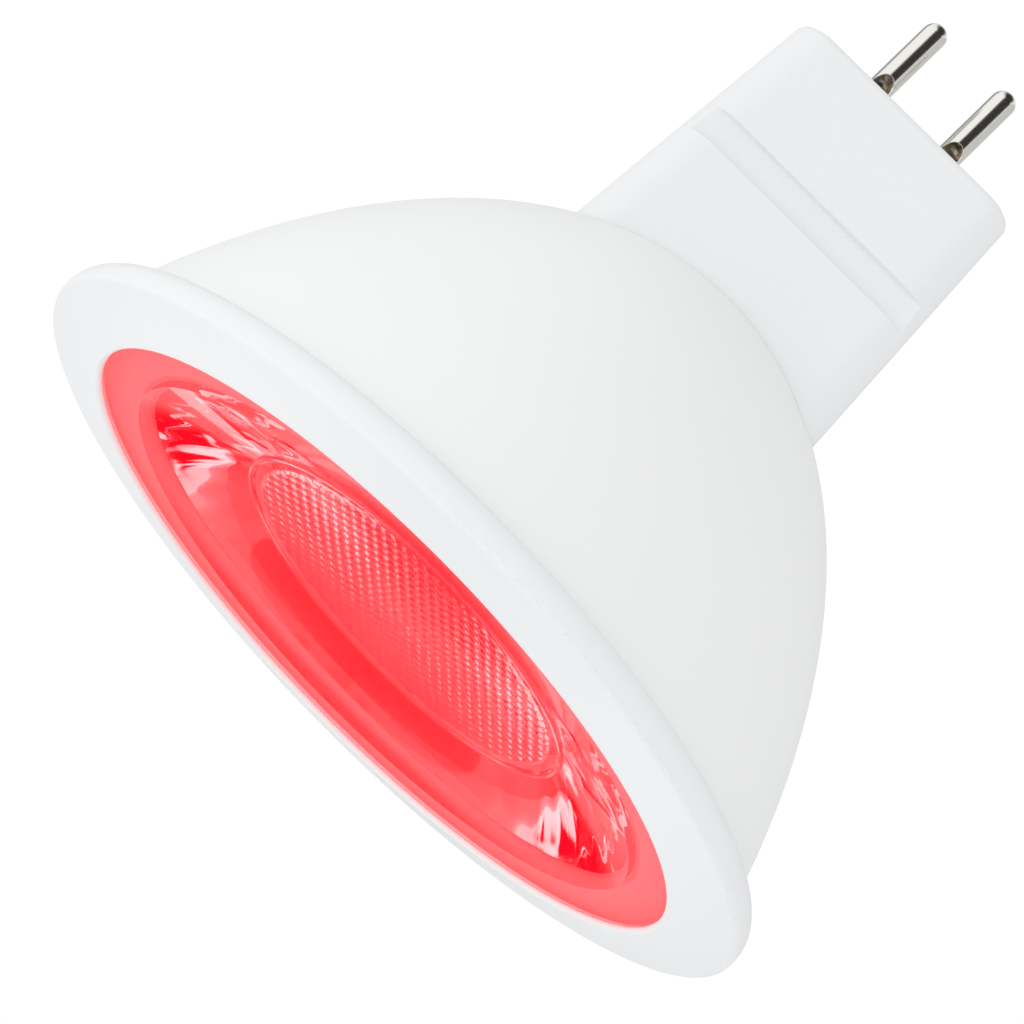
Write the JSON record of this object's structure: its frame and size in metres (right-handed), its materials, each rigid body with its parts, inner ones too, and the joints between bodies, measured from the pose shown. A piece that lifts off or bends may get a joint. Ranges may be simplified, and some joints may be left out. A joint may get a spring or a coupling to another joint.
{
  "type": "led spotlight bulb",
  "caption": "Reflector spotlight bulb: domed white housing, red collimator lens under a front ring, and a tapered base block with contact pins for a low-voltage holder.",
  "frame": {"origin": "middle of the base block's end face, between the two contact pins", "axes": "+Z along the optical axis out of the lens, +X along the pair of pins, +Y across the block's thin side"},
  "size_m": [0.05, 0.05, 0.0479],
  "materials": {
    "shell_plastic": "satin moulded",
    "block_plastic": "fine grained",
    "ring_plastic": "satin moulded",
    "lens_red": "polished",
    "pin_metal": "nickel plated",
    "cup_aluminium": "drawn",
    "holder_white": "satin moulded",
    "pad_grey": "soft",
    "board_white": "solder mask on aluminium",
    "package_white": "moulded",
    "window_resin": "phosphor resin",
    "screw_steel": "zinc plated",
    "bush_silicone": "silicone",
    "wire_red": "insulation",
    "wire_black": "insulation",
    "solder": "bright",
    "board_green": "solder mask on glass fibre",
    "can_aluminium": "drawn",
    "sleeve_black": "shrunk film",
    "tinned_wire": "tinned",
    "ferrite": "sintered",
    "copper": "enamelled",
    "epoxy_black": "moulded",
    "resistor_black": "glazed",
    "ceramic_tan": "fired"
  },
  "bodies": {
    "root": {"outer_shell": "shell_plastic", "base_block": "block_plastic", "front_ring": "ring_plastic", "tir_lens": "lens_red", "contact_pin_left": "pin_metal", "contact_pin_right": "pin_metal", "lens_holder": "holder_white", "heat_cup": "cup_aluminium", "thermal_pad": "pad_grey", "led_board": "board_white", "led_packages": "package_white", "led_windows": "window_resin", "board_screws": "screw_steel", "wire_bushes": "bush_silicone", "led_wire_red": "wire_red", "led_wire_black": "wire_black", "led_solder": "solder", "driver_board": "board_green", "capacitor_can": "can_aluminium", "capacitor_sleeve": "sleeve_black", "capacitor_leads": "tinned_wire", "coil_core": "ferrite", "coil_winding": "copper", "bridge_rectifier": "epoxy_black", "driver_chip": "epoxy_black", "chip_legs": "tinned_wire", "output_diode": "epoxy_black", "chip_resistors": "resistor_black", "chip_capacitors": "ceramic_tan", "pin_lead_left": "tinned_wire", "pin_lead_right": "tinned_wire"}
  },
  "joints": []
}
